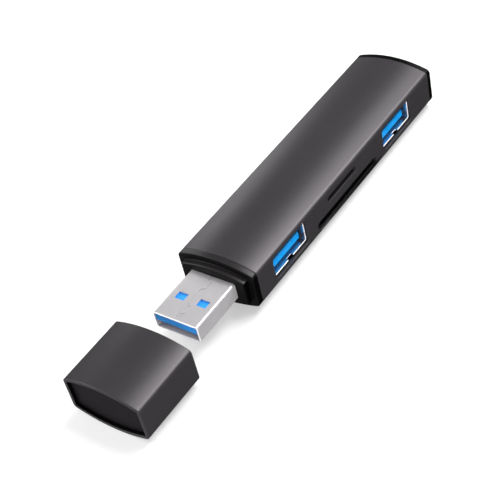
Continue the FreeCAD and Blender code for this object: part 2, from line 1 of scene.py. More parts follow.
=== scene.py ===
"""Looks of a USB hub and card reader stick with its cap pulled off.

The metal sleeve, the cap, the plastic ends and the plug's shell are rebuilt with fine outlines and eased
edges. The ports' shells and the blue mouldings are CAD nodes with eased edges, and the other CAD nodes
are dressed as they are. Sizes are in millimetres. y = 0 is the front edge of the sleeve and z = 0 the
middle of the cross-section, as in the part's own construction, until a mesh goes into the shared frame.
"""

import logging
import math
from collections.abc import Callable, Iterable, Sequence
from dataclasses import dataclass, field, replace
from enum import Enum

import bmesh
import bpy
from mathutils import Matrix, Vector


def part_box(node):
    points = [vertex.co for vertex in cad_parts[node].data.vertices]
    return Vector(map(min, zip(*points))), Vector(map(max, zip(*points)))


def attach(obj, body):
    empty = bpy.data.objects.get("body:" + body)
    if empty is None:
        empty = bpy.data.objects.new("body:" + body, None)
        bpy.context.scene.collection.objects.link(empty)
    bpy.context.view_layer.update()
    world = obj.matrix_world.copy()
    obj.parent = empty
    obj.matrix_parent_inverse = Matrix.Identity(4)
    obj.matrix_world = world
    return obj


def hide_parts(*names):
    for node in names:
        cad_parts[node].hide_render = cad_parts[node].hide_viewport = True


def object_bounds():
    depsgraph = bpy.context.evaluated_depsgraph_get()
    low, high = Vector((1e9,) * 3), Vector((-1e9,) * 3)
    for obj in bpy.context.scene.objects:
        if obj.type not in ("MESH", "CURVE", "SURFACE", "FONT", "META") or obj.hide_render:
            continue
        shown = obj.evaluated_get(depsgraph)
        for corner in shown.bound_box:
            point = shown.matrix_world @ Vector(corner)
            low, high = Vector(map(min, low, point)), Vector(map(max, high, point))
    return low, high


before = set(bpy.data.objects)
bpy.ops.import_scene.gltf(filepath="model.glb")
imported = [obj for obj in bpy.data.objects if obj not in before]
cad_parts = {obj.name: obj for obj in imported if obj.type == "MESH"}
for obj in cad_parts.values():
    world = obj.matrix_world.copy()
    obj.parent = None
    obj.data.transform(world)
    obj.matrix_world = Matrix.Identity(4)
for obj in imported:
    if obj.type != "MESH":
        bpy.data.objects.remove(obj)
cad_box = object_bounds()

log = logging.getLogger("card_reader")

MM = 0.001
Colour = tuple[float, float, float]
Place = tuple[float, float]
Spot = tuple[float, float, float]
Lay = Callable[[float, float, float], Spot]
Socket = bpy.types.NodeSocket
WHITE = (1.0, 1.0, 1.0, 1.0)


class Body(Enum):
    """The two bodies that pieces ride on."""

    HUB = "hub"
    CAP = "cap"


class Grain(Enum):
    """How a surface's fine marks stretch along x, y and z."""

    EVEN = (1.0, 1.0, 1.0)
    ALONG_X = (0.04, 1.0, 1.0)
    ALONG_Y = (1.0, 0.04, 1.0)


class Throw(Enum):
    """What a light adds to: everything, only the sheen of surfaces, or only their plain colour."""

    FULL = "full"
    SHEEN = "sheen"
    SOFT = "soft"


class Recipe:
    """A material's node tree, with short ways to add nodes and join them."""

    # A mix node's colour sockets go by their places, because it has several of each name.
    MIX_FACTOR, MIX_FIRST, MIX_SECOND, MIX_RESULT = 0, 6, 7, 2
    EDGE_SAMPLES = 4
    EDGE_MATCH = (0.80, 0.985)

    def __init__(self, name: str) -> None:
        """Starts a material that has one principled surface.

        Args:
            name: The material's name.
        """
        self.material = bpy.data.materials.new(name)
        self.material.use_nodes = True
        self.tree = self.material.node_tree
        self.surface = self.tree.nodes["Principled BSDF"]

    def feed(self, node: bpy.types.Node, socket: str | int, value: object) -> None:
        """Sets an input of a node, or joins it to another node's output.

        Args:
            node: The node that gets the value.
            socket: The input's name or place.
            value: A plain value, or the output that drives the input.
        """
        if isinstance(value, Socket):
            self.tree.links.new(value, node.inputs[socket])
        else:
            node.inputs[socket].default_value = value

    def fill(self, node: bpy.types.Node, inputs: dict[str, object]) -> None:
        """Feeds inputs of a node by name, in which an underscore stands for a space."""
        for name, value in inputs.items():
            self.feed(node, name.replace("_", " "), value)

    def coat(self, **inputs: object) -> None:
        """Feeds the principled surface."""
        self.fill(self.surface, inputs)

    def add(self, kind: str, **inputs: object) -> bpy.types.Node:
        """Adds a node.

        Args:
            kind: The kind of shader node.
            inputs: What its inputs get.

        Returns:
            The node.
        """
        node = self.tree.nodes.new("ShaderNode" + kind)
        self.fill(node, inputs)
        return node

    def place(self) -> Socket:
        """The place on the surface, in metres of the shared frame."""
        return self.add("TexCoord").outputs["Object"]

    def noise(self, size: float, detail: float, grain: Grain = Grain.EVEN) -> Socket:
        """Adds a noise that is fixed to the object.

        Args:
            size: The size of its blotches in millimetres.
            detail: How many finer layers lie over them.
            grain: The direction that they are drawn out in.

        Returns:
            The noise's strength, from 0 to 1.
        """
        mapping = self.add("Mapping", Vector=self.place(), Scale=grain.value)
        spots = mapping.outputs["Vector"]
        return self.add("TexNoise", Vector=spots, Scale=1 / (size * MM), Detail=detail).outputs["Fac"]

    def span(self, source: Socket, low: float, high: float,
             start: float = 0.3, end: float = 0.7) -> Socket:
        """Maps a driving value onto a range.

        Args:
            source: The driving value.
            low: The result at the start of its range, and below.
            high: The result at the end of its range, and above.
            start: Where the driving range starts.
            end: Where it ends.

        Returns:
            The mapped value.
        """
        node = self.add("MapRange", Value=source, From_Min=start, From_Max=end, To_Min=low, To_Max=high)
        return node.outputs["Result"]

    def blend(self, factor: Socket, first: Colour | Socket, second: Colour | Socket) -> Socket:
        """Blends two colours, or two outputs of colour, by a driving value.

        Args:
            factor: 0 gives the first colour and 1 the second.
            first: A colour or an output.
            second: A colour or an output.

        Returns:
            The blended colour.
        """
        node = self.add("Mix")
        node.data_type = "RGBA"
        self.feed(node, self.MIX_FACTOR, factor)
        for socket, value in ((self.MIX_FIRST, first), (self.MIX_SECOND, second)):
            self.feed(node, socket, value if isinstance(value, Socket) else (*value, 1.0))
        return node.outputs[self.MIX_RESULT]

    def facing(self, way: Spot | Socket) -> Socket:
        """How far the surface faces one way.

        Args:
            way: The way, as a direction of length 1 or an output that gives one.

        Returns:
            1 where the surface faces that way, 0 across it and -1 where it faces back.
        """
        match = self.add("VectorMath")
        match.operation = "DOT_PRODUCT"
        self.feed(match, 0, self.add("NewGeometry").outputs["Normal"])
        self.feed(match, 1, way)
        return match.outputs["Value"]

    def edges(self, radius: float, wear: float) -> Socket:
        """Finds the edges of a piece.

        Args:
            radius: How far from an edge its wear reaches, in millimetres.
            wear: How strong the wear is, up to 1.

        Returns:
            A mask that has the wear's strength on sharp edges and 0 on flat ground.
        """
        bevel = self.add("Bevel", Radius=radius * MM)
        bevel.samples = self.EDGE_SAMPLES
        return self.span(self.facing(bevel.outputs["Normal"]), wear, 0.0, *self.EDGE_MATCH)

    def away(self) -> Socket:
        """Measures how far the surface lies from its own middle.

        Returns:
            The distance in metres.
        """
        length = self.add("VectorMath")
        length.operation = "LENGTH"
        self.feed(length, 0, self.place())
        return length.outputs["Value"]

    def bump(self, height: Socket, depth: float, strength: float) -> Socket:
        """The normal of a surface raised by a driving value, with the relief's depth in millimetres."""
        node = self.add("Bump", Height=height, Distance=depth * MM, Strength=strength)
        return node.outputs["Normal"]


def shaded(colour: Colour, share: float) -> Colour:
    """The colour made lighter or darker by a share."""
    return tuple(min(1.0, part * share) for part in colour)


@dataclass(frozen=True)
class Finish:
    """What every finish has: a name, a slot in the record, a colour in two tones and a roughness."""

    name: str
    slot: str
    colour: Colour
    roughness: float
    tones: Place = (0.95, 1.05)
    swing: Place = (-0.02, 0.02)

    def material(self) -> bpy.types.Material:
        """Gives the finish's material, made when it is first asked for.

        Returns:
            The material, one for all pieces with this finish.
        """
        found = bpy.data.materials.get(self.name)
        if found is None:
            recipe = Recipe(self.name)
            self.mix(recipe)
            found = recipe.material
        return found

    def put_on(self, mesh: bpy.types.Mesh) -> None:
        """Makes this the only finish of a mesh."""
        mesh.materials.clear()
        mesh.materials.append(self.material())

    def clouded(self, recipe: Recipe, source: Socket) -> Socket:
        """The colour, varied between its two tones by a driving value."""
        return recipe.blend(source, *(shaded(self.colour, tone) for tone in self.tones))

    def uneven(self, recipe: Recipe, source: Socket) -> Socket:
        """The roughness, varied within its swing by a driving value."""
        return recipe.span(source, *(self.roughness + part for part in self.swing))

    def mix(self, recipe: Recipe) -> None:
        """Fills the recipe; each kind of finish has its own way."""
        raise NotImplementedError


@dataclass(frozen=True)
class AnodisedMetal(Finish):
    """Blasted and anodised aluminium: fine grain, faint drawing marks and paler edges."""

    edge_colour: Colour = (0.2, 0.2, 0.205)
    edge_reach: float = 0.1
    edge_wear: float = 0.3
    metallic: float = 0.5
    gloss: float = 0.3
    rim: float = 0.6
    cloud_size: float = 9.0
    grain_size: float = 0.09
    grain_share: float = 0.25
    grain_tone: float = 1.25
    grain_depth: float = 0.004
    grain_strength: float = 0.35
    drawn_size: float = 0.6

    def mix(self, recipe: Recipe) -> None:
        """Clouds the colour, pales the edges and roughens the ground with the blasting's grain.

        Args:
            recipe: The node tree to fill.
        """
        grain = recipe.noise(self.grain_size, detail=2.0)
        drawn = recipe.noise(self.drawn_size, detail=3.0, grain=Grain.ALONG_Y)
        cloud = recipe.noise(self.cloud_size, detail=2.0)
        speck = shaded(self.colour, self.grain_tone)
        specked = recipe.span(grain, 0.0, self.grain_share)
        ground = recipe.blend(specked, self.clouded(recipe, cloud), speck)
        worn = recipe.edges(self.edge_reach, self.edge_wear)
        recipe.coat(
            Base_Color=recipe.blend(worn, ground, self.edge_colour),
            Metallic=self.metallic,
            Specular_IOR_Level=self.gloss,
            Specular_Tint=(self.rim, self.rim, self.rim, 1.0),
            Roughness=self.uneven(recipe, drawn),
            Normal=recipe.bump(grain, self.grain_depth, self.grain_strength),
        )


@dataclass(frozen=True)
class MouldedPlastic(Finish):
    """Moulded plastic: faint flow clouds, a spark-eroded ground, slightly polished edges and, where
    asked for, painted light on the faces that look one way.
    """

    tones: Place = (0.9, 1.1)
    swing: Place = (-0.03, 0.05)
    gloss: float = 0.5
    edge_reach: float = 0.08
    edge_wear: float = 0.5
    edge_tone: float = 1.5
    flow_size: float = 4.0
    grain_size: float = 0.12
    grain_depth: float = 0.004
    grain_strength: float = 0.3
    # Painted light: the faces that look the given way, up and forward by default, are blended toward
    # this paler colour across the span, as if lit from there.
    painted_light: Colour = (0.0, 0.0, 0.0)
    painted_light_way: Spot = (0.0, -0.35, 0.937)
    painted_light_span: Place = (0.2, 0.9)

    def mix(self, recipe: Recipe) -> None:
        """Clouds the colour a little, breaks up the gloss, and paints light on the faces that look one
        way by blending them paler.

        Args:
            recipe: The node tree to fill.
        """
        flow = recipe.noise(self.flow_size, detail=3.0)
        grain = recipe.noise(self.grain_size, detail=2.0)
        worn = recipe.edges(self.edge_reach, self.edge_wear)
        colour = recipe.blend(worn, self.clouded(recipe, flow), shaded(self.colour, self.edge_tone))
        # Painted light: faces that look the given way are blended toward the paler colour.
        if any(self.painted_light):
            reach = recipe.span(recipe.facing(self.painted_light_way), 0.0, 1.0, *self.painted_light_span)
            colour = recipe.blend(reach, colour, self.painted_light)
        recipe.coat(
            Base_Color=colour,
            Roughness=self.uneven(recipe, flow),
            Specular_IOR_Level=self.gloss,
            Normal=recipe.bump(grain, self.grain_depth, self.grain_strength),
        )


@dataclass(frozen=True)
class PlatedSheet(Finish):
    """Plated sheet metal: rolling marks, small handling scuffs and bright cut edges."""

    tones: Place = (0.92, 1.06)
    swing: Place = (-0.03, 0.03)
    edge_colour: Colour = (0.9, 0.89, 0.87)
    edge_reach: float = 0.06
    edge_wear: float = 0.4
    metallic: float = 0.75
    scuff_size: float = 1.6
    grain: Grain = Grain.ALONG_Y
    grain_size: float = 0.25
    grain_depth: float = 0.001
    grain_strength: float = 0.15

    def mix(self, recipe: Recipe) -> None:
        """Streaks the roughness along the sheet and brightens its edges.

        Args:
            recipe: The node tree to fill.
        """
        rolled = recipe.noise(self.grain_size, detail=3.0, grain=self.grain)
        scuff = recipe.noise(self.scuff_size, detail=4.0)
        worn = recipe.edges(self.edge_reach, self.edge_wear)
        recipe.coat(
            Base_Color=recipe.blend(worn, self.clouded(recipe, scuff), self.edge_colour),
            Metallic=self.metallic,
            Roughness=self.uneven(recipe, rolled),
            Normal=recipe.bump(rolled, self.grain_depth, self.grain_strength),
        )


@dataclass(frozen=True)
class BoardLaminate(Finish):
    """A printed board: solder mask over faint tracks, with the weave of its laminate."""

    swing: Place = (-0.05, 0.08)
    track_colour: Colour = (0.03, 0.16, 0.08)
    track_scale: float = 450.0
    track_width: float = 0.09
    track_length: float = 2.4
    weave_size: float = 0.3
    weave_share: float = 0.3
    weave_tone: float = 0.7
    weave_depth: float = 0.01
    weave_strength: float = 0.2
    mask: float = 0.4

    def mix(self, recipe: Recipe) -> None:
        """Lays straight tracks under the mask by a fine brick pattern.

        Args:
            recipe: The node tree to fill.
        """
        bricks = recipe.add(
            "TexBrick",
            Vector=recipe.place(),
            Scale=self.track_scale,
            Mortar_Size=self.track_width,
            Brick_Width=self.track_length,
        )
        weave = recipe.noise(self.weave_size, detail=2.0)
        tracks = recipe.blend(bricks.outputs["Fac"], self.colour, self.track_colour)
        thread = shaded(self.colour, self.weave_tone)
        recipe.coat(
            Base_Color=recipe.blend(recipe.span(weave, 0.0, self.weave_share), tracks, thread),
            Roughness=self.uneven(recipe, weave),
            Normal=recipe.bump(weave, self.weave_depth, self.weave_strength),
            Coat_Weight=self.mask,
        )


@dataclass(frozen=True)
class FiredBody(Finish):
    """A small part with a fine even speckle: moulded resin or fired ceramic."""

    swing: Place = (-0.06, 0.06)
    speckle: Colour = (0.08, 0.08, 0.08)
    speckle_share: float = 0.6
    speckle_span: Place = (0.45, 0.75)
    grain_size: float = 0.07
    grain_depth: float = 0.006
    grain_strength: float = 0.4

    def mix(self, recipe: Recipe) -> None:
        """Speckles the colour and the ground.

        Args:
            recipe: The node tree to fill.
        """
        grain = recipe.noise(self.grain_size, detail=2.0)
        speckled = recipe.span(grain, 0.0, self.speckle_share, *self.speckle_span)
        recipe.coat(
            Base_Color=recipe.blend(speckled, self.colour, self.speckle),
            Roughness=self.uneven(recipe, grain),
            Normal=recipe.bump(grain, self.grain_depth, self.grain_strength),
        )


GUNMETAL = AnodisedMetal("gunmetal", "gunmetal_aluminium", (0.052, 0.0482, 0.052), 0.31)
# Painted shade: a near-black copy of the anodised metal for the cap tube's inner wall, standing in for
# the shade in the recess round the pot.
PAINTED_SHADE_INSIDE = AnodisedMetal(
    "painted_shade_inside", "gunmetal_aluminium", (0.003, 0.0028, 0.003), 0.5,
    edge_colour=(0.02, 0.019, 0.02), gloss=0.05,
)
GLOSS_BLACK = MouldedPlastic(
    "gloss_black", "gloss_black_plastic", (0.0012, 0.0011, 0.0012), 0.3, gloss=0.05
)
# Black plastic with painted light: its faces that look up and forward are paler, as if lit. The shiny
# copy also has more gloss.
PAINTED_LIGHT_BLACK = replace(GLOSS_BLACK, name="painted_light_black", painted_light=(0.0135, 0.0123, 0.0135))
SHINY_PAINTED_LIGHT_BLACK = replace(PAINTED_LIGHT_BLACK, name="shiny_painted_light_black", gloss=0.2)
SATIN_BLACK = MouldedPlastic(
    "satin_black", "satin_black_plastic", (0.006, 0.0049, 0.006), 0.45, gloss=0.15, grain_depth=0.01
)
NICKEL = PlatedSheet("nickel", "nickel_steel", (0.49, 0.476, 0.49), 0.35, metallic=0.4)
# Painted light: a paler, less metallic copy of the nickel for the shell's inner wall, brightening the
# inside of the plug's mouth.
PAINTED_LIGHT_NICKEL = PlatedSheet("painted_light_nickel", "nickel_steel", (0.68, 0.6, 0.57), 0.35, metallic=0.3)
BRIGHT_NICKEL = PlatedSheet(
    "bright_nickel", "nickel_steel", (0.6, 0.6, 0.64), 0.18, grain=Grain.ALONG_X, metallic=0.95
)
# Painted highlight: near-white, mostly plain sheet metal for the faces at the shells' mouths, standing
# in for the bright lines of light along those edges.
PAINTED_EDGE_HIGHLIGHT = PlatedSheet("painted_edge_highlight", "nickel_steel", (0.95, 0.94, 0.96), 0.3, metallic=0.2)
AZURE = MouldedPlastic("azure", "blue_plastic", (0.002, 0.265, 0.69), 0.35, gloss=0.06)
ROYAL_BLUE = MouldedPlastic("royal_blue", "blue_plastic", (0.038, 0.33, 0.9), 0.35, gloss=0.1)
# Painted shade: the card sockets' covers are made near-black, so that the card slots show dark as their
# shaded insides would.
PAINTED_SHADE_STEEL = PlatedSheet(
    "black_steel", "black_steel", (0.008, 0.008, 0.008), 0.6, edge_colour=(0.03, 0.03, 0.03)
)
GOLD = PlatedSheet("gold", "gold_contact", (0.83, 0.6, 0.24), 0.22, edge_colour=(0.95, 0.78, 0.42))
LAMINATE = BoardLaminate("laminate", "board_laminate", (0.012, 0.09, 0.045), 0.35)
RESIN = FiredBody("resin", "chip_resin", (0.012, 0.012, 0.013), 0.5)
CAN = PlatedSheet("can", "crystal_can", (0.62, 0.62, 0.6), 0.25)
CERAMIC = FiredBody("ceramic", "capacitor_ceramic", (0.32, 0.2, 0.11), 0.45, speckle=(0.45, 0.33, 0.2))
SOCKET_BLACK = MouldedPlastic("socket_black", "socket_plastic", (0.012, 0.012, 0.012), 0.5, gloss=0.25)


def arc(centre: Place, radius: float, start: float, end: float, steps: int) -> list[Place]:
    """Places along an arc between two angles, the first and the last included."""
    angles = [start + (end - start) * step / steps for step in range(steps + 1)]
    return [(centre[0] + radius * math.cos(a), centre[1] + radius * math.sin(a)) for a in angles]


@dataclass(frozen=True)
class StickSection:
    """The cross-section of the stick: flat sides, a crowned top and bottom, four rounded corners."""

    width: float = 20.6
    height: float = 12.4
    crown_rise: float = 1.84
    corner: float = 1.2
    least_corner: float = 0.25
    crown_steps: int = 28
    corner_steps: int = 8

    def crown_radius(self) -> float:
        """The radius of the crowned faces."""
        return ((self.width / 2) ** 2 + self.crown_rise**2) / (2 * self.crown_rise)

    def holds(self, across: float, up: float, inset: float) -> bool:
        """Whether a place lies within the outline moved inward, with rounded corners left aside."""
        ceiling = self.height / 2 - self.crown_radius() + math.sqrt(self.crown_radius() ** 2 - across**2)
        return abs(across) < self.width / 2 - inset and abs(up) < ceiling - inset

    def outline(self, inset: float) -> list[Place]:
        """The outline, moved inward.

        Args:
            inset: How far it moves inward.

        Returns:
            Places across and up, as many for any inset.
        """
        radius = self.crown_radius()
        centre = self.height / 2 - radius
        crown = radius - inset
        corner = max(self.corner - inset, self.least_corner)
        reach = self.width / 2 - inset - corner
        level = centre + math.sqrt((crown - corner) ** 2 - reach**2)
        lean = math.atan2(level - centre, reach)
        upper = arc((reach, level), corner, 0, lean, self.corner_steps)
        upper += arc((0, centre), crown, lean, math.pi - lean, self.crown_steps)[1:-1]
        upper += arc((-reach, level), corner, math.pi - lean, math.pi, self.corner_steps)
        return upper + [(-x, -z) for x, z in upper]


@dataclass(frozen=True)
class BarSection:
    """A rounded rectangle, the section of a plug, a port, a window or a slot."""

    width: float
    height: float
    corner: float
    steps: int = 6
    least_corner: float = 0.02

    def holds(self, across: float, up: float, inset: float) -> bool:
        """Whether a place lies within the outline moved inward, with rounded corners left aside."""
        return abs(across) < self.width / 2 - inset and abs(up) < self.height / 2 - inset

    def outline(self, inset: float) -> list[Place]:
        """The outline, moved inward.

        Args:
            inset: How far it moves inward.

        Returns:
            Places across and up, as many for any inset.
        """
        corner = max(self.corner - inset, self.least_corner)
        flat = self.width / 2 - inset - corner
        tall = self.height / 2 - inset - corner
        places = []
        for turn, (x, z) in enumerate(((flat, tall), (-flat, tall), (-flat, -tall), (flat, -tall))):
            start = turn * math.pi / 2
            places += arc((x, z), corner, start, start + math.pi / 2, self.steps)
        return places


Section = StickSection | BarSection


def eased(corners: list[Spot], closed: bool = False, steps: int = 4) -> list[Place]:
    """Rounds the corners of a profile.

    Args:
        corners: Places along and inward, each with the radius of its corner.
        closed: Whether the profile runs back to its start.
        steps: How many stretches each rounding has.

    Returns:
        The places of the rounded profile.
    """
    places = []
    for index, (along, inset, radius) in enumerate(corners):
        corner = Vector((along, inset))
        end = not closed and index in (0, len(corners) - 1)
        if end or not radius:
            places.append((along, inset))
            continue
        before = (Vector(corners[index - 1][:2]) - corner).normalized()
        after = (Vector(corners[(index + 1) % len(corners)][:2]) - corner).normalized()
        half_turn = before.angle(after) / 2
        centre = corner + (before + after).normalized() * (radius / math.sin(half_turn))
        first = corner + before * (radius / math.tan(half_turn)) - centre
        last = corner + after * (radius / math.tan(half_turn)) - centre
        for step in range(steps + 1):
            spoke = first.slerp(last, step / steps).normalized() * radius
            places.append(tuple(centre + spoke))
    return places


def tube_profile(start: float, end: float, wall: float, rim: float, bore: float) -> list[Place]:
    """The closed profile of a tube whose outer edges are rounded by rim and whose inner ones by bore."""
    return eased([(start, 0, rim), (end, 0, rim), (end, wall, bore), (start, wall, bore)], closed=True)


def stick_origin() -> Vector:
    """The middle of the sleeve's front edge in the shared frame, where the stick's own frame starts."""
    low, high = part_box("body_sleeve")
    return Vector((0, low.y, (low.z + high.z) / 2))


class Draft:
    """A mesh in the making, in millimetres."""

    def __init__(self) -> None:
        """Starts with no spots and no faces."""
        self.spots: list[Spot] = []
        self.faces: list[Sequence[int]] = []

    def ring(self, spots: Iterable[Spot]) -> list[int]:
        """Adds a closed row of spots.

        Args:
            spots: The spots in order.

        Returns:
            Their numbers.
        """
        start = len(self.spots)
        self.spots += spots
        return list(range(start, len(self.spots)))

    def skin(self, rings: list[list[int]], closed: bool) -> None:
        """Joins rings of the same count with bands of faces.

        Args:
            rings: The rings in order.
            closed: Whether the last one joins the first; an open row is capped at both ends.
        """
        for first, second in zip(rings, rings[1:] + rings[:1] if closed else rings[1:]):
            self.faces += zip(first, first[1:] + first[:1], second[1:] + second[:1], second)
        if not closed:
            self.faces += [rings[0], rings[-1]]

    def sweep(self, section: Section, profile: list[Place], closed: bool, lay: Lay) -> "Draft":
        """Draws a profile round a section.

        Args:
            section: What gives the outline at each inset.
            profile: Places along the piece and inward from the outline.
            closed: Whether the profile closes on itself; an open one is capped at both ends.
            lay: Turns a place across, along and up into a spot.

        Returns:
            This draft.
        """
        rings = []
        for along, inset in profile:
            rings.append(self.ring(lay(across, along, up) for across, up in section.outline(inset)))
        self.skin(rings, closed)
        return self

    def mesh(self, name: str) -> bpy.types.Mesh:
        """Finishes the mesh in the shared frame, with its faces turned outward.

        Args:
            name: The mesh's name.

        Returns:
            The mesh.
        """
        origin = stick_origin()
        mesh = bpy.data.meshes.new(name)
        mesh.from_pydata([origin + Vector(spot) * MM for spot in self.spots], [], self.faces)
        work = bmesh.new()
        work.from_mesh(mesh)
        bmesh.ops.recalc_face_normals(work, faces=work.faces)
        work.to_mesh(mesh)
        work.free()
        return mesh


@dataclass(frozen=True)
class AlongStick:
    """Lays a section across the stick at a level, and its profile along it."""

    level: float = 0.0

    def __call__(self, across: float, along: float, up: float) -> Spot:
        """The spot of a place across, along and up."""
        return (across, along, self.level + up)


@dataclass(frozen=True)
class FromTop:
    """Lays a section flat over the stick and its profile upward."""

    side: float
    middle: float

    def __call__(self, across: float, along: float, up: float) -> Spot:
        """The spot of a place across, along and up."""
        return (self.side + across, self.middle + up, along)


@dataclass(frozen=True)
class Easing:
    """A rounding of sharp edges: its width, its facets and the least angle of an edge in degrees."""

    width: float
    steps: int = 2
    angle: float = 30


class Piece:
    """One mesh of the object, on its way from a draft or a CAD node to its place on a body."""

    WELD = 0.001
    FLAT_ANGLE = 0.2

    def __init__(self, mesh: bpy.types.Mesh) -> None:
        """Puts a mesh into the scene."""
        self.thing = bpy.data.objects.new(mesh.name, mesh)
        bpy.context.scene.collection.objects.link(self.thing)

    @classmethod
    def swept(cls, name: str, section: Section, profile: list[Place], closed: bool = False,
              lay: Lay = AlongStick()) -> "Piece":
        """A piece drawn as a profile round a section, the way Draft.sweep does it."""
        return cls(Draft().sweep(section, profile, closed, lay).mesh(name))

    @classmethod
    def of_node(cls, node: str, name: str) -> "Piece":
        """Copies a CAD node's mesh, welded and with its flat faces joined.

        Args:
            node: The CAD node.
            name: The new piece's name.

        Returns:
            The new piece.
        """
        mesh = bpy.data.meshes.new(name)
        work = bmesh.new()
        work.from_mesh(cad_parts[node].data)
        flat = math.radians(cls.FLAT_ANGLE)
        bmesh.ops.remove_doubles(work, verts=work.verts, dist=cls.WELD * MM)
        bmesh.ops.dissolve_limit(work, angle_limit=flat, verts=work.verts, edges=work.edges)
        work.to_mesh(mesh)
        work.free()
        return cls(mesh)

    def settle(self) -> None:
        """Turns the modifiers into the mesh itself."""
        ready = self.thing.evaluated_get(bpy.context.evaluated_depsgraph_get())
        mesh = bpy.data.meshes.new_from_object(ready)
        self.thing.modifiers.clear()
        old = self.thing.data
        self.thing.data = mesh
        bpy.data.meshes.remove(old)
        mesh.name = self.thing.name

    def cut(self, *tools: "Piece") -> None:
        """Takes the volume of other pieces away, and the pieces with it.

        Args:
            tools: The cutting pieces.
        """
        for tool in tools:
            step = self.thing.modifiers.new("cut", "BOOLEAN")
            step.object = tool.thing
            step.solver = "EXACT"
        self.settle()
        for tool in tools:
            bpy.data.meshes.remove(tool.thing.data)

    def ease(self, easing: Easing) -> "Piece":
        """Rounds the sharp edges.

        Args:
            easing: The kind of rounding.

        Returns:
            This piece.
        """
        for face in self.thing.data.polygons:
            face.use_smooth = True
        bevel = self.thing.modifiers.new("eased", "BEVEL")
        bevel.width = easing.width * MM
        bevel.segments = easing.steps
        bevel.limit_method = "ANGLE"
        bevel.angle_limit = math.radians(easing.angle)
        bevel.miter_outer = "MITER_ARC"
        bevel.harden_normals = True
        even = self.thing.modifiers.new("even", "WEIGHTED_NORMAL")
        even.keep_sharp = True
        self.settle()
        return self

    def dress(self, finish: Finish) -> "Piece":
        """Gives the piece its finish.

        Args:
            finish: The finish.

        Returns:
            This piece.
        """
        finish.put_on(self.thing.data)
        return self

    def trim(self, finish: Finish, picks: Callable[[Vector, Vector], bool]) -> "Piece":
        """Gives some of the faces a second finish.

        Args:
            finish: The second finish.
            picks: Tells whether a face gets it, from its middle in the stick's own frame and its normal.

        Returns:
            This piece.
        """
        origin = stick_origin()
        self.thing.data.materials.append(finish.material())
        for face in self.thing.data.polygons:
            if picks((face.center - origin) / MM, face.normal):
                face.material_index = len(self.thing.data.materials) - 1
        return self

    def set_on(self, body: Body, node: str) -> None:
        """Sets the piece on its body in place of a CAD node.

        Args:
            body: The body that it rides on.
            node: The CAD node that it stands for.
        """
        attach(self.thing, body.value)
        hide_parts(node)
        log.info("%s: %d faces on %s", self.thing.name, len(self.thing.data.polygons), body.value)


def dress_node(node: str, finish: Finish) -> None:
    """Gives a CAD node that stays in the scene its finish."""
    finish.put_on(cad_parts[node].data)
    log.info("%s: CAD node in %s", node, finish.name)


@dataclass(frozen=True)
class Opening:
    """An opening in the sleeve's side: its middle along the stick, its level and its section."""

    middle: float
    level: float
    section: BarSection

    def lay(self, across: float, along: float, up: float) -> Spot:
        """The spot of a place across the opening, through it and up."""
        return (along, self.middle + across, self.level + up)

    def tool(self, start: float, end: float) -> Piece:
        """A bar that cuts the opening between two places across the stick."""
        return Piece.swept("tool", self.section, [(start, 0), (end, 0)], lay=self.lay)


